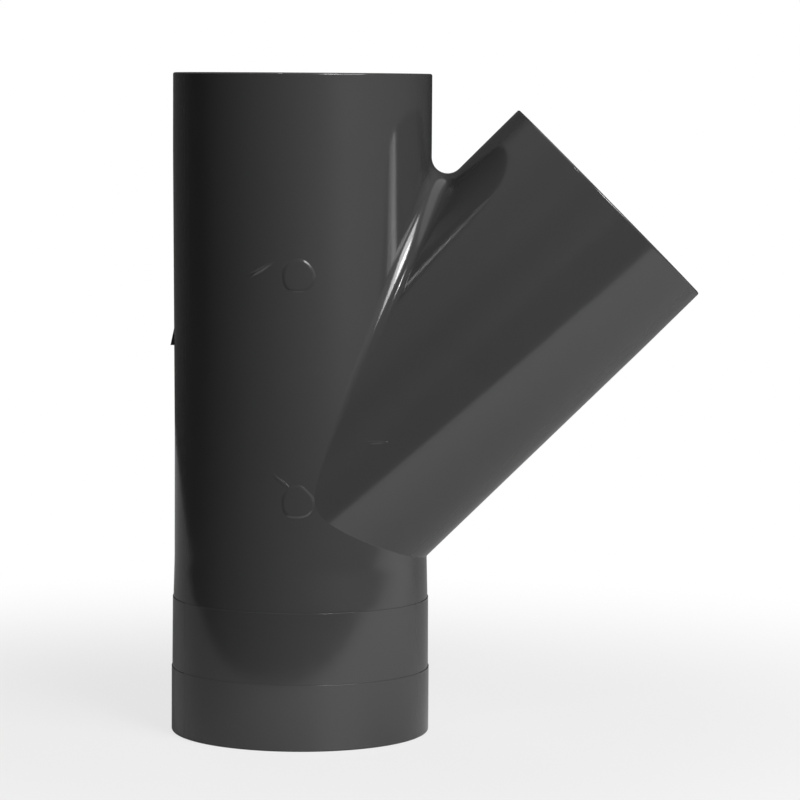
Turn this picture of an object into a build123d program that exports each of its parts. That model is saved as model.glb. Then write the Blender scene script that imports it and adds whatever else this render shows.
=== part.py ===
from build123d import *
import os
from math import cos, radians, sin, sqrt, tan

# Lateral wye fitting: a straight run with one branch leaning away at 45 degrees, moulded in one piece with
# a plain spigot on each of its three ends. Millimetres. The origin is the centre of the lower end face,
# +Z runs up the run, and the branch leans towards +X in the XZ plane.

# Driving dimensions
spigot_od = 110.0           # outside diameter of the upper spigot
wall = 4.3                  # wall at the spigots and through the junction
run_below = 97.5            # lower end face up to the point where the two axes cross
run_above = 184.0           # crossing point up to the upper end face
branch_length = 184.5       # crossing point out to the end face of the branch, along its axis
branch_angle = 45.0         # between the axes of run and branch, degrees
web_clearance = 1.3         # how far beyond the web the straight spigots start
waist_drop = 0.9            # how much smaller the run's radius is at the junction than at the upper spigot
root_drop = 1.6             # the same for the branch where it leaves the run
branch_drop = 0.3           # how much smaller the branch spigot's radius is than the upper spigot's
waist_rise = 30.0           # how far above the crossing point the run stays slim before it widens

# Lower end, formed by a core sleeve that leaves two small steps round the outside
sleeve_length = 28.0        # largest diameter, from the lower end face up to the first step
sleeve_growth = 0.3         # how much larger its radius is than the upper spigot's
collar_length = 30.0        # from the first step up to the second
collar_draft = 0.15         # how much the collar's radius falls from the first step to the second
collar_step = 0.3           # height of the second step
lower_bore_length = 40.0    # straight part of the bore at the lower end

# Rounding
crotch_radius = 6.8         # web between run and branch, above the branch
throat_radius = 1.5         # edge where the two bores meet
outer_break = 0.8           # outer edges of the end faces
inner_break = 0.4           # inner edges of the end faces

# Gate stub on the side of the run away from the branch
gate_height = 68.0          # its flat underside above the crossing point
gate_rise = 9.0             # length of the stub up the wall
gate_proud = 1.7            # how far its underside stands out from the wall
gate_width = 5.0
gate_root = 1.0             # how deep the stub is rooted in the wall

# Sizes that follow
spigot_r = spigot_od / 2
sleeve_r = spigot_r + sleeve_growth
waist_r = spigot_r - waist_drop
root_r = spigot_r - root_drop
branch_r = spigot_r - branch_drop
collar_top_r = spigot_r - collar_draft
run_top = run_below + run_above
collar_top = sleeve_length + collar_length
waist_top = run_below + waist_rise
seam_side = sqrt(waist_r**2 - root_r**2)
lean = radians(branch_angle)
# The seam between run and branch turns round at the sides of the run at this height
turn_height = run_below + seam_side
# The neck under the waist ends level with the lower corner between run and branch
neck_top = run_below - spigot_r * tan(lean / 2)
# The web reaches equally far along both axes, and the straight spigots start beyond it
web_reach = (spigot_r + crotch_radius) / tan(lean / 2)
branch_foot = web_reach + web_clearance
spigot_foot = run_below + branch_foot

crossing = Vector(0, 0, run_below)
branch_dir = Vector(sin(lean), 0, cos(lean))
branch_axis = Axis(crossing, branch_dir)
# In this plane local Y runs out along the branch and local X points away from the run's upper end
branch_plane = Plane(origin=crossing, x_dir=(cos(lean), 0, -sin(lean)), z_dir=(0, -1, 0))
turn_plane = Plane.XY.offset(turn_height)

# Outside of the run above the turn of the seam: the slim waist and the taper up to the spigot
with BuildSketch(Plane.XZ) as run_above_turn:
    with BuildLine():
        Polyline(
            (0, 0),
            (waist_r, 0),
            (waist_r, waist_top),
            (spigot_r, spigot_foot),
            (spigot_r, run_top),
            (0, run_top),
            close=True,
        )
    make_face()

# Outside of the run below it: the sleeve, the collar and the neck that lead up to the waist
with BuildSketch(Plane.XZ) as run_below_turn:
    with BuildLine():
        Polyline(
            (0, 0),
            (sleeve_r, 0),
            (sleeve_r, sleeve_length),
            (spigot_r, sleeve_length),
            (collar_top_r, collar_top),
            (collar_top_r - collar_step, collar_top),
            (waist_r, neck_top),
            (waist_r, turn_height),
            (0, turn_height),
            close=True,
        )
    make_face()

# Outside of the branch, a little slimmer at its root than the run, so that the seam is one smooth loop
with BuildSketch(branch_plane) as branch_outside:
    with BuildLine():
        Polyline(
            (0, 0),
            (root_r, 0),
            (branch_r, branch_foot),
            (branch_r, branch_length),
            (0, branch_length),
            close=True,
        )
    make_face()

# The bores keep one wall inside those outlines
with BuildSketch(Plane.XZ) as run_inside:
    with BuildLine():
        Polyline(
            (0, 0),
            (spigot_r - wall, 0),
            (spigot_r - wall, lower_bore_length),
            (waist_r - wall, neck_top),
            (waist_r - wall, waist_top),
            (spigot_r - wall, spigot_foot),
            (spigot_r - wall, run_top),
            (0, run_top),
            close=True,
        )
    make_face()

with BuildSketch(branch_plane) as branch_inside:
    with BuildLine():
        Polyline(
            (0, 0),
            (root_r - wall, 0),
            (branch_r - wall, branch_foot),
            (branch_r - wall, branch_length),
            (0, branch_length),
            close=True,
        )
    make_face()

# Upper half with the web: the seam is rounded from the crotch down to the sides of the run, where it fades
with BuildPart() as webbed_half:
    revolve(run_above_turn.sketch, axis=Axis.Z)
    revolve(branch_outside.sketch, axis=branch_axis)
    fillet(webbed_half.edges().filter_by(GeomType.BSPLINE), crotch_radius)
    split(bisect_by=turn_plane, keep=Keep.TOP)

# Core that leaves the passages, with the edge where the two bores meet rounded
with BuildPart() as core:
    revolve(run_inside.sketch, axis=Axis.Z)
    revolve(branch_inside.sketch, axis=branch_axis)
    fillet(core.edges().filter_by(GeomType.BSPLINE), throat_radius)

with BuildPart() as wye_body:
    # Lower half, where the branch meets the run in a sharp crease
    revolve(run_below_turn.sketch, axis=Axis.Z)
    revolve(branch_outside.sketch, axis=branch_axis)
    split(bisect_by=turn_plane, keep=Keep.BOTTOM)
    add(webbed_half.part)

    # Gate stub: a wedge, flat below and running out upwards
    gate_z = run_below + gate_height
    widening = (gate_z - waist_top) / (spigot_foot - waist_top)
    gate_wall = waist_r + waist_drop * widening
    with BuildSketch(Plane.XZ):
        with BuildLine():
            Polyline(
                (-(gate_wall - gate_root), gate_z),
                (-(gate_wall + gate_proud), gate_z),
                (-(gate_wall - gate_root), gate_z + gate_rise),
                close=True,
            )
        make_face()
    extrude(amount=gate_width / 2, both=True)

    # The passages, left by the core
    add(core.part, mode=Mode.SUBTRACT)

    # Edge breaks of the three end faces
    end_planes = (
        Plane.XY,
        Plane.XY.offset(run_top),
        Plane(origin=crossing + branch_dir * branch_length, z_dir=branch_dir),
    )
    for end_plane in end_planes:
        face = wye_body.faces().filter_by(end_plane).sort_by(
            lambda candidate: (candidate.center() - end_plane.origin).length
        )[0]
        rims = face.edges().sort_by(SortBy.LENGTH)
        fillet(rims[-1], outer_break)
        chamfer(rims[0], inner_break)

wye_body.part.label = "wye_body"

os.makedirs("parts", exist_ok=True)
export_step(wye_body.part, "parts/wye_body.step")
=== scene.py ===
"""Lateral wye fitting for soil and waste pipe: moulded body, gate stub, finishes, stage and camera.

Metres. The origin is the centre of the lower end face, +Z runs up the run and the branch leans towards +X.
"""

import bpy
import numpy as np
from mathutils import Matrix, Vector


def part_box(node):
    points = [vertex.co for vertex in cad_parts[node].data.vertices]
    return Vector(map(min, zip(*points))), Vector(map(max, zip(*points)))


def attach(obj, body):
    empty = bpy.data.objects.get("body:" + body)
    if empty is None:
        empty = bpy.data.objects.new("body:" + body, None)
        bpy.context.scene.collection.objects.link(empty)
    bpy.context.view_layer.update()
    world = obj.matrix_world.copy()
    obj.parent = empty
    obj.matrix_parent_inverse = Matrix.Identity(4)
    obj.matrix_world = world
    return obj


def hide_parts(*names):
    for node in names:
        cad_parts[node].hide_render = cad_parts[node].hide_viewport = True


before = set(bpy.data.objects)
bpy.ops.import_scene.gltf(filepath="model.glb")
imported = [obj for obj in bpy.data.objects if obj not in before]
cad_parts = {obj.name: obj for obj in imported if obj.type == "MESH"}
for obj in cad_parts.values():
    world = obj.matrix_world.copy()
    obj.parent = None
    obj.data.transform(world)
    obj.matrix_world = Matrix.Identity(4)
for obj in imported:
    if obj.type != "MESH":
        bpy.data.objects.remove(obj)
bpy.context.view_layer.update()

bl_info = {
    "name": "Lateral wye fitting",
    "version": (1, 0, 0),
    "blender": (4, 5, 0),
    "location": "3D View > Sidebar > Wye fitting",
    "description": "Builds the moulded lateral wye, its finish and its studio stage",
    "category": "Add Mesh",
}

MM = 0.001
CAD_NODE = "wye_body"
BODY = "root"
BOX_LOW, BOX_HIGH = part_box(CAD_NODE)

# Rows and columns of the skins' grids
COLUMNS_LOW = 72
COLUMNS_HIGH = 120
COLUMNS_BACK = 90
WALL_ROWS = 25
WEB_ROWS = 13

WELD = 1e-4 * MM  # corners nearer than this are one vertex
OUTSIDE, BORE = 0, 1  # material indices of the body


# ---------------------------------------------------------------- small helpers

def linear_colour(hex_code):
    """sRGB hex to linear RGB: each channel is divided by 12.92 below 0.04045, else raised to 2.4."""
    channels = [int(hex_code[i:i + 2], 16) / 255 for i in (1, 3, 5)]
    return tuple(c / 12.92 if c <= 0.04045 else ((c + 0.055) / 1.055) ** 2.4 for c in channels)


def unit(vectors):
    """Each vector of the last axis divided by its own length."""
    return vectors / np.linalg.norm(vectors, axis=-1, keepdims=True)


def smooth_step(value, low, high):
    """0 below low, 1 above high, and 3x^2 - 2x^3 in between."""
    x = np.clip((value - low) / (high - low), 0, 1)
    return x * x * (3 - 2 * x)


def add_node(tree, kind, links=(), **settings):
    """Adds one node. settings are its own properties or input defaults; links are (input, source socket)."""
    node = tree.nodes.new(kind)
    for name, value in settings.items():
        if hasattr(node, name):
            setattr(node, name, value)
        else:
            node.inputs[name.replace("_", " ")].default_value = value
    for name, source in links:
        tree.links.new(source, node.inputs[name])
    return node


# ---------------------------------------------------------------- turned walls and the web between them

class Turned:
    """A wall of revolution: a radius at each distance along an axis, about an origin.

    A point is origin + axis * distance + radius * (e0 * cos(angle) + e1 * sin(angle)).
    """

    def __init__(self, origin, axis, e0, stations):
        self.origin = np.array(origin, float)
        self.axis = unit(np.array(axis, float))
        self.e0 = unit(np.array(e0, float))
        self.e1 = np.cross(self.axis, self.e0)
        self.stations = np.array(stations, float)

    def radius(self, along):
        """Radius at a distance: straight lines between the stations, eased over 4 mm at each kink."""
        shifts = np.array([-2, -1, 0, 1, 2]) * MM
        return sum(np.interp(along + s, self.stations[:, 0], self.stations[:, 1]) for s in shifts) / 5

    def slope(self, along):
        """Growth of the radius for each metre along the axis."""
        step = 0.5 * MM
        return (self.radius(along + step) - self.radius(along - step)) / (2 * step)

    def out(self, angle):
        """Unit vector square to the axis at an angle round it."""
        return np.cos(angle)[..., None] * self.e0 + np.sin(angle)[..., None] * self.e1

    def point(self, angle, along, radius):
        """The class's own formula."""
        return self.origin + along[..., None] * self.axis + radius[..., None] * self.out(angle)

    def tilt(self, angle, lean):
        """Outward unit normal of a wall whose radius grows by lean for each metre."""
        return unit(self.out(angle) - lean[..., None] * self.axis)

    def wall(self, angle, along):
        """Point and outward normal of the wall itself."""
        return self.point(angle, along, self.radius(along)), self.tilt(angle, self.slope(along))

    def measure(self, points):
        """Angle round the axis, distance along it and distance from it."""
        local = points - self.origin
        along = local @ self.axis
        a, b = local @ self.e0, local @ self.e1
        return np.arctan2(b, a), along, np.hypot(a, b)


NEWTON_ROUNDS = 30
NEWTON_STEP = 1e-6  # metres, for the slope


def rolling_ball(run, branch, angle, web):
    """Centres of a ball of radius web that touches the run and, at each angle, the branch.

    The ball stands on the branch wall at (angle, along), and Newton's steps move it along the branch until
    its distance from the run's wall is its radius too. The first guess takes both walls as plain cylinders.
    """
    lean_sin, lean_cos = branch.axis[0], branch.axis[2]
    reach_run = run.radius(np.full_like(angle, branch.origin[2])) + web
    reach_branch = branch.radius(np.zeros_like(angle)) + web
    inner = np.sqrt(reach_run ** 2 - (reach_branch * np.sin(angle)) ** 2)
    along = (inner - reach_branch * np.cos(angle) * lean_cos) / lean_sin

    def gap(at):
        foot, normal = branch.wall(angle, at)
        centre = foot + web[..., None] * normal
        _, height, distance = run.measure(centre)
        lean = run.slope(height)
        return (distance - run.radius(height)) / np.sqrt(1 + lean ** 2) - web, centre

    for _ in range(NEWTON_ROUNDS):
        value = gap(along)[0]
        rate = (gap(along + NEWTON_STEP)[0] - value) / NEWTON_STEP
        along = along - value / rate
    centre = gap(along)[1]
    run_angle, height, _ = run.measure(centre)
    run_normal = run.tilt(run_angle, run.slope(height))
    branch_normal = branch.wall(angle, along)[1]
    return along, centre, run_normal, branch_normal


def web_patch(centre, start, end, web, rows):
    """The web's surface: the ball's skin between its two contacts, each row a step of the great circle."""
    share = np.linspace(0, 1, rows)[:, None, None]
    turn = np.arccos(np.clip((start * end).sum(-1), -1, 1))[None, :, None]
    turn = np.maximum(turn, 1e-6)  # so that nothing is divided by nought where the contacts meet
    normal = (np.sin((1 - share) * turn) * start + np.sin(share * turn) * end) / np.sin(turn)
    return centre - web[None, :, None] * normal, normal


def wall_patch(wall, angle, start, end, rows):
    """Wall between a start and an end distance that may differ from column to column."""
    share = np.linspace(0, 1, rows)[:, None]
    along = start + (end - start) * share
    angles = np.broadcast_to(angle, along.shape)
    return wall.wall(angles, along)


def ring_patch(wall, angle, path):
    """A profile carried round the axis. path rows are (distance, radius, normal along, normal out)."""
    path = np.array(path, float)
    along, radius, n_along, n_out = (np.repeat(path[:, i:i + 1], len(angle), axis=1) for i in range(4))
    angles = np.broadcast_to(angle, along.shape)
    normal = unit(n_out[..., None] * wall.out(angles) + n_along[..., None] * wall.axis)
    return wall.point(angles, along, radius), normal


def straight(*corners):
    """Profile segment through (distance, radius) corners, its normal to the left of the way it runs."""
    corners = np.array(corners, float)
    way = unit(np.diff(corners, axis=0))
    way = np.vstack([way, way[-1:]])
    return np.column_stack([corners, -way[:, 1], way[:, 0]])


def rounded(centre, size, start, end, steps=6):
    """Profile segment round part of a circle, in degrees from straight out towards the axis's way."""
    turn = np.radians(np.linspace(start, end, steps))
    along = centre[0] + size * np.sin(turn)
    radius = centre[1] + size * np.cos(turn)
    return np.column_stack([along, radius, np.sin(turn), np.cos(turn)])


# ---------------------------------------------------------------- mesh from patches

def build_mesh(name, patches, materials):
    """One closed mesh from grids that share their borders.

    Every patch is (points, normals, material index), both as rows x columns x 3. Its four-sided faces are
    wound to agree with its normals. Corners that fall on the same step of WELD become one vertex, which
    closes seams and poles, and each face corner keeps the normal that its own surface has there.
    """
    points, normals, quads, marks = [], [], [], []
    offset = 0
    for grid, normal, mark in patches:
        rows, columns = grid.shape[:2]
        index = offset + np.arange(rows * columns).reshape(rows, columns)
        quad = np.stack([index[:-1, :-1], index[:-1, 1:], index[1:, 1:], index[1:, :-1]], -1).reshape(-1, 4)
        flat = grid.reshape(-1, 3)
        a, b, c, d = (flat[quad[:, k] - offset] for k in range(4))
        facing = np.cross(c - a, d - b)
        if (facing * normal.reshape(-1, 3)[quad[:, 0] - offset]).sum() < 0:
            quad = quad[:, ::-1]
        points.append(flat)
        normals.append(normal.reshape(-1, 3))
        quads.append(quad)
        marks.append(np.full(len(quad), mark))
        offset += rows * columns
    points, normals = np.concatenate(points), np.concatenate(normals)
    quads, marks = np.concatenate(quads), np.concatenate(marks)

    keys = np.round(points / WELD).astype(np.int64)
    _, first, shared = np.unique(keys, axis=0, return_index=True, return_inverse=True)
    shared = shared.reshape(-1)
    corners = shared[quads]

    mesh = bpy.data.meshes.new(name)
    twins = (corners == np.roll(corners, 1, axis=1))
    keep = twins.sum(1) < 2
    corners, quads, marks, twins = corners[keep], quads[keep], marks[keep], twins[keep]
    sizes = 4 - twins.sum(1)
    loops = corners[~twins]
    loop_normals = normals[quads[~twins]]
    mesh.vertices.add(len(first))
    mesh.vertices.foreach_set("co", points[first].astype(np.float32).ravel())
    mesh.loops.add(len(loops))
    mesh.loops.foreach_set("vertex_index", loops.astype(np.int32))
    mesh.polygons.add(len(sizes))
    starts = np.concatenate([[0], np.cumsum(sizes)[:-1]])
    mesh.polygons.foreach_set("loop_start", starts.astype(np.int32))
    mesh.polygons.foreach_set("material_index", marks.astype(np.int32))
    mesh.update(calc_edges=True)
    for material in materials:
        mesh.materials.append(material)
    mesh.polygons.foreach_set("use_smooth", np.ones(len(sizes), bool))
    mesh.normals_split_custom_set(loop_normals.astype(np.float32))
    mesh.validate(clean_customdata=False)
    piece = bpy.data.objects.new(name, mesh)
    bpy.context.scene.collection.objects.link(piece)
    return piece


def skin(run, branch, web_at, limits, rims, mark, side):
    """Every wall of one skin of the wye, outer or bore, and the angles of its three open ends.

    The web's seam is a loop round the branch. Its two turning points, where it stands furthest round the
    run, divide it into a lower and an upper half. From each half the run's columns go down or up, and round
    the back they run the whole height, with rows that meet at the turning points. rims gives the profiles
    beyond the walls at the foot, the top and the branch's end. side is 1 outside and -1 in the bores.
    """
    foot, top, mouth = limits
    probe = np.linspace(0.8, 2.2, 1401)  # radians round the branch: the seam turns between them
    _, centre, run_normal, _ = rolling_ball(run, branch, probe, web_at(probe))
    turning = probe[np.argmax(run.measure(centre - web_at(probe)[:, None] * run_normal)[0])]
    halves = {
        "low": (np.linspace(-turning, turning, COLUMNS_LOW + 1), foot),
        "high": (np.linspace(turning, 2 * np.pi - turning, COLUMNS_HIGH + 1), top),
    }
    patches, side_angles = [], {}
    for half, (angle, limit) in halves.items():
        web = web_at(angle)
        along, centre, run_normal, branch_normal = rolling_ball(run, branch, angle, web)
        patches.append(web_patch(centre, run_normal, branch_normal, web, WEB_ROWS))
        patches.append(wall_patch(branch, angle, along, mouth, WALL_ROWS))
        run_angle, height, _ = run.measure(centre - web[:, None] * run_normal)
        patches.append(wall_patch(run, run_angle, height, limit, WALL_ROWS))
        side_angles[half] = run_angle
        turn_height = height[0]
    first, last = side_angles["high"][[0, -1]]
    back = np.linspace(first, 2 * np.pi + last, COLUMNS_BACK + 1)
    for limit in (foot, top):
        patches.append(wall_patch(run, back, np.full_like(back, turn_height), limit, WALL_ROWS))

    rings = {
        "foot": (run, (side_angles["low"], back)),
        "top": (run, (side_angles["high"], back)),
        "mouth": (branch, (halves["low"][0], halves["high"][0])),
    }
    for end, (wall, spans) in rings.items():
        for path in rims[end]:
            patches.extend(ring_patch(wall, angle, path) for angle in spans)
    return [(grid, normal * side, mark) for grid, normal in patches], rings


def face_between(outer, inner, along, outer_radius, inner_radius, way, mark):
    """Flat end face: columns that join the outer skin's ring to the bore's ring, square to the axis."""
    patches = []
    for out_angle, in_angle in zip(outer[1], inner[1]):
        here = np.full_like(out_angle, along)
        rows = [
            outer[0].point(out_angle, here, np.full_like(out_angle, outer_radius)),
            inner[0].point(in_angle, here, np.full_like(in_angle, inner_radius)),
        ]
        grid = np.stack(rows)
        patches.append((grid, np.broadcast_to(outer[0].axis * way, grid.shape), mark))
    return patches


# ---------------------------------------------------------------- sizes and colours

def length(name, description, default):
    """A length that shows in the scene's own unit and is never below nought."""
    return bpy.props.FloatProperty(
        name=name, description=description, default=default, min=0, subtype="DISTANCE", unit="LENGTH"
    )


class WyeSizes(bpy.types.PropertyGroup):
    """Sizes of the moulded body; the run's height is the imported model's own."""

    spigot_radius: length("Spigot radius", "Outside radius of the upper spigot", 55.0 * MM)
    wall: length("Wall", "Wall of the moulding", 4.3 * MM)
    run_below: length("Run below", "Lower end face up to the crossing of the axes", 97.5 * MM)
    run_height: length("Run height", "Lower end face up to the upper end face", BOX_HIGH.z)
    branch_length: length("Branch length", "Crossing of the axes out to the branch's end face", 184.5 * MM)
    branch_angle: bpy.props.FloatProperty(
        name="Branch angle", description="Between the axes of run and branch",
        default=np.pi / 4, min=0.5, max=1.4, subtype="ANGLE", unit="ROTATION",
    )
    waist_drop: length("Waist drop", "How much smaller the run's radius is at the junction", 0.9 * MM)
    root_drop: length("Root drop", "How much smaller the branch's radius is at its root", 1.6 * MM)
    branch_drop: length("Branch drop", "How much smaller the branch spigot's radius is", 0.3 * MM)
    waist_rise: length("Waist rise", "How far above the crossing the run stays slim", 30.0 * MM)
    web_clearance: length("Web clearance", "How far beyond the web the spigots start", 1.3 * MM)
    sleeve_length: length("Sleeve length", "Widest band at the lower end", 28.0 * MM)
    sleeve_growth: length("Sleeve growth", "How much larger the sleeve's radius is", 0.3 * MM)
    collar_length: length("Collar length", "From the first step up to the second", 30.0 * MM)
    collar_draft: length("Collar draft", "How much the collar's radius falls", 0.15 * MM)
    collar_step: length("Collar step", "Height of the second step", 0.3 * MM)
    bore_length: length("Lower bore length", "Straight part of the bore at the lower end", 40.0 * MM)
    web_radius: length("Web radius", "Round between run and branch, above the branch", 6.8 * MM)
    crease_radius: length("Crease radius", "Round between run and branch, below the branch", 0.9 * MM)
    throat_radius: length("Throat radius", "Edge where the two bores meet", 1.5 * MM)
    outer_break: length("Outer edge break", "Round of the end faces' outer edges", 0.8 * MM)
    inner_break: length("Inner edge break", "Chamfer of the end faces' inner edges", 0.4 * MM)
    step_round: length("Step round", "Round on the edges of the two small steps", 0.12 * MM)
    gate_height: length("Gate height", "Flat underside of the gate stub above the crossing", 68.0 * MM)
    gate_rise: length("Gate rise", "Length of the gate stub up the wall", 9.0 * MM)
    gate_proud: length("Gate proud", "How far the gate stub's underside stands out", 1.7 * MM)
    gate_width: length("Gate width", "Width of the gate stub round the wall", 5.0 * MM)
    gate_root: length("Gate root", "How deep the gate stub starts in the wall", 1.0 * MM)


class WyeFinish(bpy.types.PropertyGroup):
    """Colours and gloss of the moulding."""

    body_colour: bpy.props.FloatVectorProperty(
        name="Body colour", description="Black polyethylene from a polished mould",
        default=linear_colour("#3f3f3f"), size=3, min=0, max=1, subtype="COLOR",
    )
    flow_colour: bpy.props.FloatVectorProperty(
        name="Flow colour", description="Faintly paler bands where the melt flowed",
        default=linear_colour("#424242"), size=3, min=0, max=1, subtype="COLOR",
    )
    roughness: bpy.props.FloatProperty(
        name="Roughness", description="Of the polished outside", default=0.13, min=0, max=1,
        subtype="FACTOR",
    )
    bore_roughness: bpy.props.FloatProperty(
        name="Bore roughness", description="Of the bores and end faces", default=0.34, min=0, max=1,
        subtype="FACTOR",
    )


class WyeStage(bpy.types.PropertyGroup):
    """The studio: table, lamps and surroundings."""

    key_power: bpy.props.FloatProperty(
        name="Key power", description="Soft lamp above and to the right of the camera", default=13.8, min=0,
        subtype="POWER", unit="POWER",
    )
    core_power: bpy.props.FloatProperty(
        name="Core power", description="Brighter middle of the key lamp", default=5.0, min=0,
        subtype="POWER", unit="POWER",
    )
    spot_power: bpy.props.FloatProperty(
        name="Spot power", description="Small lamp above and to the left of the camera", default=2.1, min=0,
        subtype="POWER", unit="POWER",
    )
    back_power: bpy.props.FloatProperty(
        name="Back power", description="Soft lamp behind, for the side away from the camera",
        default=5.0, min=0, subtype="POWER", unit="POWER",
    )
    fill: bpy.props.FloatProperty(
        name="Fill", description="Strength of the surroundings' own light", default=0.01, min=0,
    )
    # The studio wall's glow is painted reflection: only reflections see it, and it lights nothing
    wall_glow: bpy.props.FloatProperty(
        name="Wall glow", description="Light of the studio wall at its brightest", default=1.0, min=0,
    )
    table_radius: length("Table radius", "Of the round table top", 0.885)
    wall_radius: length("Wall radius", "Distance of the studio wall", 2.6)
    wall_span: bpy.props.FloatProperty(
        name="Wall span", description="How far round the wall reaches to each side, degrees", default=180.0,
        min=0, max=180,
    )
    whiteness: bpy.props.FloatProperty(
        name="Whiteness", description="How far the table near the fitting shows as plain white", default=0.75,
        min=0, max=1, subtype="FACTOR",
    )


# ---------------------------------------------------------------- materials

def new_material(name):
    """An empty node material with its output and a Principled shader."""
    material = bpy.data.materials.new(name)
    material.use_nodes = True
    tree = material.node_tree
    tree.nodes.clear()
    shader = tree.nodes.new("ShaderNodeBsdfPrincipled")
    output = tree.nodes.new("ShaderNodeOutputMaterial")
    tree.links.new(shader.outputs["BSDF"], output.inputs["Surface"])
    return material, tree, shader, output


POLYETHYLENE_IOR = 1.54
OUTSIDE_HAZE, CORE_HAZE = 0.03, 0.05  # how far the haze moves the roughness each way
MIX_FIRST, MIX_SECOND, MIX_RESULT = 6, 7, 2  # a Mix node's colour sockets


def polished_polyethylene(finish):
    """Black high-density polyethylene, injection moulded against polished steel.

    To the eye: a near black that mirrors the room softly and evenly, a slight haze that comes and goes over
    centimetres, faintly paler flow bands and an orange peel too slight to break the reflections.
    """
    material, tree, shader, _ = new_material("hdpe_black_polished_mould")
    place = add_node(tree, "ShaderNodeTexCoord").outputs["Object"]
    flow = add_node(
        tree, "ShaderNodeTexNoise", [("Vector", place)], Scale=1 / (45 * MM), Detail=3.0, Distortion=0.6
    )
    tint = add_node(tree, "ShaderNodeMix", [(0, flow.outputs["Fac"])], data_type="RGBA")
    tint.inputs[MIX_FIRST].default_value = (*finish.body_colour, 1)
    tint.inputs[MIX_SECOND].default_value = (*finish.flow_colour, 1)
    tree.links.new(tint.outputs[MIX_RESULT], shader.inputs["Base Color"])
    haze = add_node(tree, "ShaderNodeTexNoise", [("Vector", place)], Scale=1 / (9 * MM), Detail=4.0)
    rough = add_node(
        tree, "ShaderNodeMapRange", [("Value", haze.outputs["Fac"])],
        To_Min=finish.roughness - OUTSIDE_HAZE, To_Max=finish.roughness + OUTSIDE_HAZE,
    )
    tree.links.new(rough.outputs["Result"], shader.inputs["Roughness"])
    peel = add_node(tree, "ShaderNodeTexNoise", [("Vector", place)], Scale=1 / (2.2 * MM), Detail=1.0)
    bump = add_node(
        tree, "ShaderNodeBump", [("Height", peel.outputs["Fac"])], Distance=0.003 * MM, Strength=1.0
    )
    tree.links.new(bump.outputs["Normal"], shader.inputs["Normal"])
    shader.inputs["IOR"].default_value = POLYETHYLENE_IOR
    return material


def core_polyethylene(finish):
    """The same plastic where the cores shaped it and the ends were trimmed.

    To the eye: the same black, but duller, with a cloudy sheen and no clear reflections.
    """
    material, tree, shader, _ = new_material("hdpe_black_core_side")
    place = add_node(tree, "ShaderNodeTexCoord").outputs["Object"]
    haze = add_node(tree, "ShaderNodeTexNoise", [("Vector", place)], Scale=1 / (6 * MM), Detail=4.0)
    rough = add_node(
        tree, "ShaderNodeMapRange", [("Value", haze.outputs["Fac"])],
        To_Min=finish.bore_roughness - CORE_HAZE, To_Max=finish.bore_roughness + CORE_HAZE,
    )
    tree.links.new(rough.outputs["Result"], shader.inputs["Roughness"])
    tint = add_node(tree, "ShaderNodeMix", [(0, haze.outputs["Fac"])], data_type="RGBA")
    tint.inputs[MIX_FIRST].default_value = (*finish.body_colour, 1)
    tint.inputs[MIX_SECOND].default_value = (*finish.flow_colour, 1)
    tree.links.new(tint.outputs[MIX_RESULT], shader.inputs["Base Color"])
    bump = add_node(
        tree, "ShaderNodeBump", [("Height", haze.outputs["Fac"])], Distance=0.01 * MM, Strength=1.0
    )
    tree.links.new(bump.outputs["Normal"], shader.inputs["Normal"])
    shader.inputs["IOR"].default_value = POLYETHYLENE_IOR
    return material


# ---------------------------------------------------------------- pieces

EASE = 4 * MM  # over this distance a wall's kink is eased, so a rim's own profile starts this far from it
BORE_LEAD = 10 * MM  # straight end of the lower bore that its wall takes in
WEB_FADES, WEB_FULL = 1.35, 1.95  # radians up from the branch's underside between which the web widens


def web_reach(s):
    """Crossing of the axes out to the spigots: (radius + web) / tan(half the angle), and the clearance."""
    return (s.spigot_radius + s.web_radius) / np.tan(s.branch_angle / 2) + s.web_clearance


def neck_height(s):
    """Where the run is slim from: level with the low corner between run and branch."""
    return s.run_below - s.spigot_radius * np.tan(s.branch_angle / 2)


def run_wall(stations):
    """A wall turned about the run's axis, up from the lower end."""
    return Turned((0, 0, 0), (0, 0, 1), (1, 0, 0), stations)


def branch_wall(s, stations):
    """A wall turned about the branch's axis, out from the crossing of the axes."""
    lean = (np.sin(s.branch_angle), 0, np.cos(s.branch_angle))
    return Turned((0, 0, s.run_below), lean, (lean[2], 0, -lean[0]), stations)


def on(wall, along):
    """The profile corner (distance, radius) of a wall at a distance."""
    return along, float(wall.radius(np.array(along)))


def outer_walls(s):
    """The run's and the branch's outer walls, before the web joins them."""
    reach = web_reach(s)
    waist = s.spigot_radius - s.waist_drop
    branch_radius = s.spigot_radius - s.branch_drop
    run = run_wall([
        (s.sleeve_length + s.collar_length, s.spigot_radius - s.collar_draft - s.collar_step),
        (neck_height(s), waist), (s.run_below + s.waist_rise, waist),
        (s.run_below + reach, s.spigot_radius), (s.run_height, s.spigot_radius),
    ])
    branch = branch_wall(s, [
        (0, s.spigot_radius - s.root_drop), (reach, branch_radius), (s.branch_length, branch_radius),
    ])
    return run, branch


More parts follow.
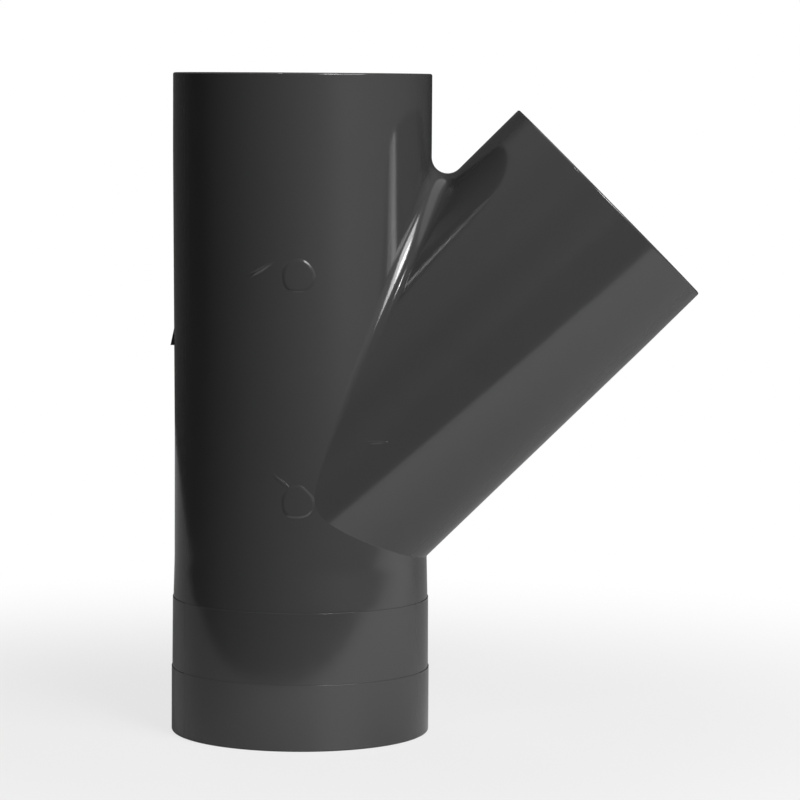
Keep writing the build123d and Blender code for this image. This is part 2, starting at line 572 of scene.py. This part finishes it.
def outer_skin(s):
    """The outside: waist, tapers, spigots, the two small steps and the web round the crotch."""
    reach = web_reach(s)
    sleeve = s.spigot_radius + s.sleeve_growth
    collar = s.spigot_radius - s.collar_draft
    first_step = s.sleeve_length
    second_step = s.sleeve_length + s.collar_length
    branch_radius = s.spigot_radius - s.branch_drop
    brk, tiny = s.outer_break, s.step_round
    run, branch = outer_walls(s)

    def web_at(angle):
        """The web's radius: full over the branch, easing to the crease's under it."""
        upward = np.arccos(np.clip(np.cos(angle), -1, 1))
        return s.crease_radius + (s.web_radius - s.crease_radius) * smooth_step(upward, WEB_FADES, WEB_FULL)

    top = s.run_below + reach
    rims = {
        "foot": (
            rounded((brk, sleeve - brk), brk, -90, 0),
            straight((brk, sleeve), (first_step - tiny, sleeve)),
            rounded((first_step - tiny, sleeve - tiny), tiny, 0, 90, 4),
            straight((first_step, sleeve - tiny), (first_step, s.spigot_radius)),
            straight((first_step, s.spigot_radius), (second_step - tiny, collar)),
            rounded((second_step - tiny, collar - tiny), tiny, 0, 90, 4),
            straight((second_step, collar - tiny), on(run, second_step)),
        ),
        "top": (
            straight(on(run, top), (top + EASE, s.spigot_radius), (s.run_height - brk, s.spigot_radius)),
            rounded((s.run_height - brk, s.spigot_radius - brk), brk, 0, 90),
        ),
        "mouth": (
            straight(on(branch, reach), (reach + EASE, branch_radius),
                     (s.branch_length - brk, branch_radius)),
            rounded((s.branch_length - brk, branch_radius - brk), brk, 0, 90),
        ),
    }
    patches, rings = skin(run, branch, web_at, (second_step, top, reach), rims, OUTSIDE, 1)
    edges = {"foot": (0, sleeve - brk), "top": (s.run_height, s.spigot_radius - brk),
             "mouth": (s.branch_length, branch_radius - brk)}
    return patches, rings, edges


def bore_skin(s):
    """The passages: one wall inside the outside, with a small round where the two bores meet."""
    reach = web_reach(s)
    spigot = s.spigot_radius - s.wall
    waist = spigot - s.waist_drop
    mouth = spigot - s.branch_drop
    cut = s.inner_break
    top = s.run_below + reach
    run = run_wall([
        (s.bore_length - BORE_LEAD, spigot), (s.bore_length, spigot), (neck_height(s), waist),
        (s.run_below + s.waist_rise, waist), (top, spigot), (s.run_height, spigot),
    ])
    branch = branch_wall(s, [(0, spigot - s.root_drop), (reach, mouth), (s.branch_length, mouth)])
    low = s.bore_length - EASE
    rims = {
        "foot": (
            straight((0, spigot + cut), (cut, spigot)),
            straight((cut, spigot), on(run, low)),
        ),
        "top": (
            straight(on(run, top), (top + EASE, spigot), (s.run_height - cut, spigot)),
            straight((s.run_height - cut, spigot), (s.run_height, spigot + cut)),
        ),
        "mouth": (
            straight(on(branch, reach), (reach + EASE, mouth), (s.branch_length - cut, mouth)),
            straight((s.branch_length - cut, mouth), (s.branch_length, mouth + cut)),
        ),
    }

    def throat_at(angle):
        """The same small round all the way."""
        return np.full_like(angle, s.throat_radius)

    patches, rings = skin(run, branch, throat_at, (low, top, reach), rims, BORE, -1)
    edges = {"foot": (0, spigot + cut), "top": (s.run_height, spigot + cut),
             "mouth": (s.branch_length, mouth + cut)}
    return patches, rings, edges


class MESH_OT_wye_body(bpy.types.Operator):
    """Build the moulded body: run, branch, web and bores in one closed skin"""

    bl_idname = "mesh.wye_body"
    bl_label = "Wye body"
    bl_options = {"REGISTER", "UNDO"}

    def execute(self, context):
        sizes, finish = context.scene.wye_sizes, context.scene.wye_finish
        outer, outer_rings, outer_edges = outer_skin(sizes)
        bore, bore_rings, bore_edges = bore_skin(sizes)
        patches = outer + bore
        for end, way in (("foot", -1), ("top", 1), ("mouth", 1)):
            along, outer_radius = outer_edges[end]
            patches += face_between(
                outer_rings[end], bore_rings[end], along, outer_radius, bore_edges[end][1], way, BORE
            )
        piece = build_mesh(
            "wye_moulding", patches, (polished_polyethylene(finish), core_polyethylene(finish))
        )
        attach(piece, BODY)
        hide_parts(CAD_NODE)
        return {"FINISHED"}


class MESH_OT_wye_gate_stub(bpy.types.Operator):
    """Build the stub left where the gate was broken off, on the side away from the branch"""

    bl_idname = "mesh.wye_gate_stub"
    bl_label = "Gate stub"
    bl_options = {"REGISTER", "UNDO"}

    def execute(self, context):
        s = context.scene.wye_sizes
        # A box swept up the wall. Its section is a superellipse, cos and sin of the turn raised to a low
        # power, and its outer face sinks evenly until it is under the wall at the top
        rise = np.linspace(0, 1, 15)[:, None]
        turn = np.linspace(0, 2 * np.pi, 41)[None, :]
        cos, sin = np.cos(turn), np.sin(turn)
        square = 0.35  # power of the superellipse: 0 is a sharp box, 1 an ellipse
        sunk = 0.2  # how far the top ends under the wall, as a share of the stub's root
        taper = 0.25  # how much of the waist's drop the wall has made up at the gate
        narrowing = 0.15
        across = np.sign(cos) * np.abs(cos) ** square * s.gate_width / 2
        deep = np.sign(sin) * np.abs(sin) ** square
        wall = s.spigot_radius - s.waist_drop
        proud = s.gate_proud * (1 - rise) - s.gate_root * rise * sunk
        outer = wall + s.waist_drop * taper + proud
        inner = wall - s.gate_root + 0 * rise
        x = -((outer + inner) / 2 + (outer - inner) / 2 * deep)
        y = across * (1 - narrowing * rise) + 0 * x
        z = s.run_below + s.gate_height + s.gate_rise * rise + 0 * x
        body = np.stack([x, y, z], -1)
        patches = []
        for ring, way in ((body[0], -1), (body[-1], 1)):
            middle = ring.mean(0)
            cap = np.stack([middle + (ring - middle) * share for share in (0.0, 1.0)])
            patches.append((cap, np.broadcast_to(np.array([0, 0, way], float), cap.shape), OUTSIDE))
        normal = unit(np.cross(np.gradient(body, axis=1), np.gradient(body, axis=0))) * -1
        if ((body - body.mean((0, 1))) * normal).sum() < 0:
            normal = -normal
        patches.append((body, normal, OUTSIDE))
        piece = build_mesh("gate_stub", patches, (polished_polyethylene(context.scene.wye_finish),))
        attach(piece, BODY)
        return {"FINISHED"}


def raised_mark(wall, start, end, width, height, flat, wobble):
    """A low pad on the front of a turned wall, closed behind inside the plastic.

    It reaches from one (x, z) place to the other and its half width beyond, which makes a disc where both are
    one. It is an ellipse in the unrolled wall, level out to the flat share of its size. Then it falls to the
    wall along a smooth step and dips under it, and its outline wavers by the wobble.
    """
    size = wall.stations[:, 1].max()

    def unrolled(place):
        """(x, z) on the front as arc round the wall from its middle, and distance along its axis."""
        rest = np.array([place[0], 0, place[1]]) - wall.origin
        return np.array([size * np.arcsin(rest @ wall.e0 / size), rest @ wall.axis])

    first, last = unrolled(start), unrolled(end)
    middle, half = (first + last) / 2, (last - first) / 2
    reach = np.hypot(*half)
    way = half / reach if reach > 0 else np.array([0.0, 1.0])
    turn = np.linspace(0, 2 * np.pi, 65)[None, :]
    front = [0, 0.3, 0.5, 0.65, 0.75, 0.82, 0.88, 0.94, 1.0]
    share = np.array(front + [1.1, 1.1, 0.5, 0])[:, None]
    rise = height * (1 - smooth_step(share, flat, 1.0)) + 0 * turn
    rise[len(front)] = -0.2 * MM  # the rim dips under the wall
    rise[len(front) + 1:] = -0.6 * MM  # and the back lies inside it
    ragged = 1 + wobble * (np.sin(3 * turn + 1) + 0.6 * np.sin(5 * turn + 2))
    forth = (reach + width) * np.cos(turn) * share * ragged
    aside = width * np.sin(turn) * share * ragged
    around = middle[0] + forth * way[0] - aside * way[1]
    along = middle[1] + forth * way[1] + aside * way[0]
    angle = around / size - np.pi / 2
    grid = wall.point(angle, along, wall.radius(along) + rise)
    normal = np.cross(np.gradient(grid, axis=0), np.gradient(grid, axis=1))
    out = wall.out(angle)
    if (normal[3] * out[3]).sum() < 0:
        normal = -normal
    normal[0], normal[-1] = out[0], -out[-1]
    return grid, unit(normal), OUTSIDE


class MESH_OT_wye_plug_marks(bpy.types.Operator):
    """Build the low marks on the front: the ends of two plugs in the mould and the drag streaks by them"""

    bl_idname = "mesh.wye_plug_marks"
    bl_label = "Plug marks"
    bl_options = {"REGISTER", "UNDO"}

    def execute(self, context):
        s = context.scene.wye_sizes
        run, branch = outer_walls(s)
        # Start and end in mm, half width, height, level share and wobble
        marks = (
            (run, (1.0, 198.1), (1.0, 198.1), 7.0, 0.26, 0.84, 0.03),
            (run, (1.0, 104.4), (1.0, 104.4), 7.0, 0.26, 0.84, 0.04),
            (run, (-20.0, 197.5), (-10.0, 203.3), 1.1, 0.45, 0.0, 0.08),
            (run, (-9.2, 115.4), (-3.7, 111.2), 1.0, 0.22, 0.0, 0.08),
            (branch, (28.4, 129.4), (37.2, 129.6), 0.8, 0.20, 0.0, 0.05),
        )
        patches = [
            raised_mark(wall, np.array(start) * MM, np.array(end) * MM, width * MM, height * MM, flat, wobble)
            for wall, start, end, width, height, flat, wobble in marks
        ]
        piece = build_mesh("plug_marks", patches, (polished_polyethylene(context.scene.wye_finish),))
        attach(piece, BODY)
        return {"FINISHED"}


# ---------------------------------------------------------------- stage

TABLE_CENTRE = 0.22, 0.62
TABLE_GAP = 0.02 * MM  # below the fitting's lower end
TABLE_CLEAR = 0.12, 0.5  # distances from the fitting over which the table goes over to plain white
# Painted light on the table, seen only in reflections and through glass: a white glow towards the front and
# right
TABLE_PAINTED_LIGHT_WAY = 0.6, -0.8, 0  # the painted light's side, to the front and right
TABLE_PAINTED_LIGHT_SPAN = -0.05, 0.36  # distances that way over which reflections see it grow paler
TABLE_PAINTED_LIGHT_SHARE = 0.8

# Painted reflections: glow of the studio wall, which only reflections see, low down and above: degrees round
# from the camera, to the right, and level
WALL_LEVELS = (
    (-180, 0.08), (-125, 0.08), (-95, 0.0), (-60, 0.0), (-30, 0.02), (-4, 0.09), (17, 0.20), (40, 0.46),
    (76, 0.32), (107, 0.20), (128, 0.10), (155, 0.03), (180, 0.02),
)
WALL_TOP_LEVELS = (
    (-180, 0.05), (-145, 0.12), (-125, 0.40), (-90, 0.46), (-45, 0.25), (0, 0.14), (90, 0.20), (180, 0.05),
)
WALL_HEIGHTS = -1.5, 4.0
WALL_DARK = 0.02  # level below the lower of the next two heights
WALL_LOW = -0.35, 0.05  # heights between which the wall goes over from dark to its low light
WALL_HIGH = 0.6, 1.6  # heights between which it goes over to its light above

LAMP_TARGET = 0, 0, 0.14
# Name, power as the stage names it, width and height, and place
LAMPS = (
    ("key_lamp", "key_power", (0.90, 0.50), (0.75, -0.933, 0.83)),
    ("key_core", "core_power", (0.30, 0.26), (0.572, -0.991, 0.915)),
    ("spot_lamp", "spot_power", (0.105, 0.105), (-0.479, -1.346, 1.471)),
    ("back_lamp", "back_power", (0.80, 0.50), (-0.60, 1.35, 0.95)),
)

CAMERA_PLACE = 0.06629, -1.49499, 0.27472
CAMERA_YAW, CAMERA_PITCH, CAMERA_ROLL = -0.016121, -0.088183, 0.006761
CAMERA_LENS, CAMERA_SENSOR = 157.9, 36.0  # mm
CAMERA_CLIP = 0.05, 50.0


def seen_directly(tree):
    """1 for a camera ray, a reflection or a ray through glass, else 0."""
    path = add_node(tree, "ShaderNodeLightPath").outputs
    direct = add_node(tree, "ShaderNodeMath", [(0, path["Is Camera Ray"]), (1, path["Is Glossy Ray"])],
                      operation="MAXIMUM")
    return add_node(tree, "ShaderNodeMath", [(0, direct.outputs[0]), (1, path["Is Transmission Ray"])],
                    operation="MAXIMUM").outputs[0]


def white_laminate(stage):
    """Pale high-pressure laminate, satin. It goes over to plain white away from the fitting and its shadow.

    The camera sees it white all round. Reflections and rays through glass see painted light on it: a white
    glow, paler towards the front and right, that stands in for the lamps' light there.
    """
    material, tree, shader, output = new_material("table_white_laminate")
    shader.inputs["Base Color"].default_value = (*linear_colour("#cfcfcf"), 1)
    shader.inputs["Roughness"].default_value = 0.55
    place = add_node(tree, "ShaderNodeTexCoord").outputs["Object"]
    path = add_node(tree, "ShaderNodeLightPath").outputs
    away = add_node(tree, "ShaderNodeVectorMath", [(0, place)], operation="LENGTH")
    clear = add_node(tree, "ShaderNodeMapRange", [("Value", away.outputs["Value"])],
                     interpolation_type="SMOOTHSTEP", From_Min=TABLE_CLEAR[0], From_Max=TABLE_CLEAR[1],
                     To_Min=stage.whiteness, To_Max=1.0)
    seen = add_node(tree, "ShaderNodeMath", [(0, clear.outputs[0]), (1, path["Is Camera Ray"])],
                    operation="MULTIPLY")
    # Painted light: a white glow towards the front and right, seen only by reflections and rays through glass
    towards = add_node(tree, "ShaderNodeVectorMath", [(0, place)], operation="DOT_PRODUCT")
    towards.inputs[1].default_value = TABLE_PAINTED_LIGHT_WAY
    painted_light = add_node(tree, "ShaderNodeMapRange", [("Value", towards.outputs["Value"])],
                   interpolation_type="SMOOTHSTEP", From_Min=TABLE_PAINTED_LIGHT_SPAN[0], From_Max=TABLE_PAINTED_LIGHT_SPAN[1],
                   To_Min=0.0, To_Max=TABLE_PAINTED_LIGHT_SHARE)
    bounce = add_node(tree, "ShaderNodeMath", [(0, path["Is Glossy Ray"]), (1, path["Is Transmission Ray"])],
                      operation="MAXIMUM")
    painted_light_seen = add_node(tree, "ShaderNodeMath", [(0, painted_light.outputs[0]), (1, bounce.outputs[0])],
                        operation="MULTIPLY")
    share = add_node(tree, "ShaderNodeMath", [(0, seen.outputs[0]), (1, painted_light_seen.outputs[0])],
                     operation="MAXIMUM")
    glow = add_node(tree, "ShaderNodeEmission", Strength=1.0)
    glow.inputs["Color"].default_value = (1, 1, 1, 1)
    mix = add_node(tree, "ShaderNodeMixShader", [(0, share.outputs[0]), (1, shader.outputs[0]),
                                                 (2, glow.outputs[0])])
    tree.links.new(mix.outputs[0], output.inputs["Surface"])
    return material


def fill_ramp(node, levels):
    """Gives a colour ramp its grey levels at degrees round, with the camera's side in its middle."""
    elements = node.color_ramp.elements
    for i, (degrees, level) in enumerate(levels):
        element = elements[i] if i < 2 else elements.new(1.0)
        element.position = (degrees + 180) / 360
        element.color = (level, level, level, 1)


def studio_wall(stage):
    """Painted reflections on a wall that lights nothing: a broad low glow to the right of the camera, plain
    glow above, dark near the ground.
    """
    material, tree, shader, output = new_material("studio_wall_paint")
    place = add_node(tree, "ShaderNodeTexCoord").outputs["Object"]
    parts = add_node(tree, "ShaderNodeSeparateXYZ", [(0, place)])
    front = add_node(tree, "ShaderNodeMath", [(0, parts.outputs["Y"])], operation="MULTIPLY")
    front.inputs[1].default_value = -1.0
    turn = add_node(tree, "ShaderNodeMath", [(0, parts.outputs["X"]), (1, front.outputs[0])],
                    operation="ARCTAN2")
    share = add_node(
        tree, "ShaderNodeMapRange", [("Value", turn.outputs[0])], From_Min=-np.pi, From_Max=np.pi
    )
    ramp = add_node(tree, "ShaderNodeValToRGB", [(0, share.outputs[0])])
    fill_ramp(ramp, WALL_LEVELS)
    above = add_node(tree, "ShaderNodeValToRGB", [(0, share.outputs[0])])
    fill_ramp(above, WALL_TOP_LEVELS)
    low = add_node(tree, "ShaderNodeMapRange", [("Value", parts.outputs["Z"]), ("To Max", ramp.outputs[0])],
                   interpolation_type="SMOOTHSTEP", From_Min=WALL_LOW[0], From_Max=WALL_LOW[1],
                   To_Min=WALL_DARK)
    level = add_node(tree, "ShaderNodeMapRange", [("Value", parts.outputs["Z"]), ("To Min", low.outputs[0]),
                                                  ("To Max", above.outputs[0])],
                     interpolation_type="SMOOTHSTEP", From_Min=WALL_HIGH[0], From_Max=WALL_HIGH[1])
    glow = add_node(tree, "ShaderNodeEmission", [("Color", level.outputs[0])], Strength=stage.wall_glow)
    tree.links.new(glow.outputs[0], output.inputs["Surface"])
    tree.nodes.remove(shader)
    return material


class SCENE_OT_wye_stage(bpy.types.Operator):
    """Set out the table, the lamps, the surroundings and the camera"""

    bl_idname = "scene.wye_stage"
    bl_label = "Stage"
    bl_options = {"REGISTER", "UNDO"}

    def execute(self, context):
        scene = context.scene
        stage = scene.wye_stage
        scene.view_settings.view_transform = "Standard"

        # Table top: rings about its centre; its front edge is close before the fitting
        turn = np.radians(np.linspace(0, 360, 181))[None, :]
        radius = stage.table_radius * np.array([0.0, 0.25, 0.5, 0.75, 1.0])[:, None]
        grid = np.stack([TABLE_CENTRE[0] + radius * np.cos(turn), TABLE_CENTRE[1] + radius * np.sin(turn),
                         BOX_LOW.z - TABLE_GAP + 0 * radius * turn], -1)
        up = np.broadcast_to(np.array([0.0, 0, 1]), grid.shape)
        build_mesh("table_top", [(grid, up, 0)], (white_laminate(stage),))

        # Studio wall: an upright ring all round that only reflections see, a painted reflection that lights
        # nothing
        turn = np.radians(np.linspace(-stage.wall_span, stage.wall_span, 129))[:, None]
        height = np.array(WALL_HEIGHTS)[None, :]
        radius = stage.wall_radius
        wall = np.stack([radius * np.sin(turn) + 0 * height, -radius * np.cos(turn) + 0 * height,
                         height + 0 * turn], -1)
        inward = -unit(wall * np.array([1, 1, 0]))
        screen = build_mesh("studio_wall", [(wall, inward, 0)], (studio_wall(stage),))
        screen.visible_camera = False
        screen.visible_diffuse = False
        screen.visible_shadow = False

        # Surroundings: plain fill for the object, white to the camera, to reflections and through glass
        world = bpy.data.worlds.new("studio_world")
        scene.world = world
        world.use_nodes = True
        tree = world.node_tree
        tree.nodes.clear()
        fill = add_node(tree, "ShaderNodeBackground", Strength=stage.fill)
        white = add_node(tree, "ShaderNodeBackground", Strength=1.0)
        for node in (fill, white):
            node.inputs["Color"].default_value = (1, 1, 1, 1)
        mix = add_node(tree, "ShaderNodeMixShader", [(0, seen_directly(tree)), (1, fill.outputs[0]),
                                                     (2, white.outputs[0])])
        add_node(tree, "ShaderNodeOutputWorld", [("Surface", mix.outputs[0])])

        # Lamps, none of them seen by the camera; the back one shows in no reflection either
        for name, power, (wide, high), place in LAMPS:
            lamp = bpy.data.lights.new(name, "AREA")
            lamp.energy = getattr(stage, power)
            lamp.shape = "RECTANGLE"
            lamp.size, lamp.size_y = wide, high
            light = bpy.data.objects.new(name, lamp)
            scene.collection.objects.link(light)
            place, target = Vector(place), Vector(LAMP_TARGET)
            turn = (target - place).to_track_quat("-Z", "Y").to_matrix().to_4x4()
            light.matrix_world = Matrix.Translation(place) @ turn
            light.visible_camera = False
            light.visible_glossy = name != "back_lamp"

        # Camera: near the height of the upper end, looking a little down
        view = bpy.data.cameras.new("camera")
        view.lens = CAMERA_LENS
        view.sensor_width = CAMERA_SENSOR
        view.clip_start, view.clip_end = CAMERA_CLIP
        camera = bpy.data.objects.new("camera", view)
        scene.collection.objects.link(camera)
        camera.matrix_world = (
            Matrix.Translation(CAMERA_PLACE) @ Matrix.Rotation(-CAMERA_YAW, 4, "Z")
            @ Matrix.Rotation(np.pi / 2 + CAMERA_PITCH, 4, "X") @ Matrix.Rotation(CAMERA_ROLL, 4, "Z")
        )
        scene.camera = camera
        return {"FINISHED"}


class VIEW3D_PT_wye(bpy.types.Panel):
    """Lists the wye fitting's operators and sizes"""

    bl_label = "Wye fitting"
    bl_idname = "VIEW3D_PT_wye"
    bl_space_type = "VIEW_3D"
    bl_region_type = "UI"
    bl_category = "Wye fitting"

    def draw(self, context):
        for operator in OPERATORS:
            self.layout.operator(operator.bl_idname)
        for group in (context.scene.wye_sizes, context.scene.wye_finish, context.scene.wye_stage):
            column = self.layout.column()
            for name in group.__annotations__:
                column.prop(group, name)


OPERATORS = (MESH_OT_wye_body, MESH_OT_wye_gate_stub, MESH_OT_wye_plug_marks, SCENE_OT_wye_stage)
GROUPS = {"wye_sizes": WyeSizes, "wye_finish": WyeFinish, "wye_stage": WyeStage}


def register():
    for group in GROUPS.values():
        bpy.utils.register_class(group)
    for operator in OPERATORS:
        bpy.utils.register_class(operator)
    bpy.utils.register_class(VIEW3D_PT_wye)
    for name, group in GROUPS.items():
        setattr(bpy.types.Scene, name, bpy.props.PointerProperty(type=group))


def unregister():
    for name in GROUPS:
        delattr(bpy.types.Scene, name)
    bpy.utils.unregister_class(VIEW3D_PT_wye)
    for operator in reversed(OPERATORS):
        bpy.utils.unregister_class(operator)
    for group in reversed(GROUPS.values()):
        bpy.utils.unregister_class(group)


def main():
    register()
    bpy.ops.mesh.wye_body()
    bpy.ops.mesh.wye_gate_stub()
    bpy.ops.mesh.wye_plug_marks()
    bpy.ops.scene.wye_stage()


if __name__ == "__main__":
    main()
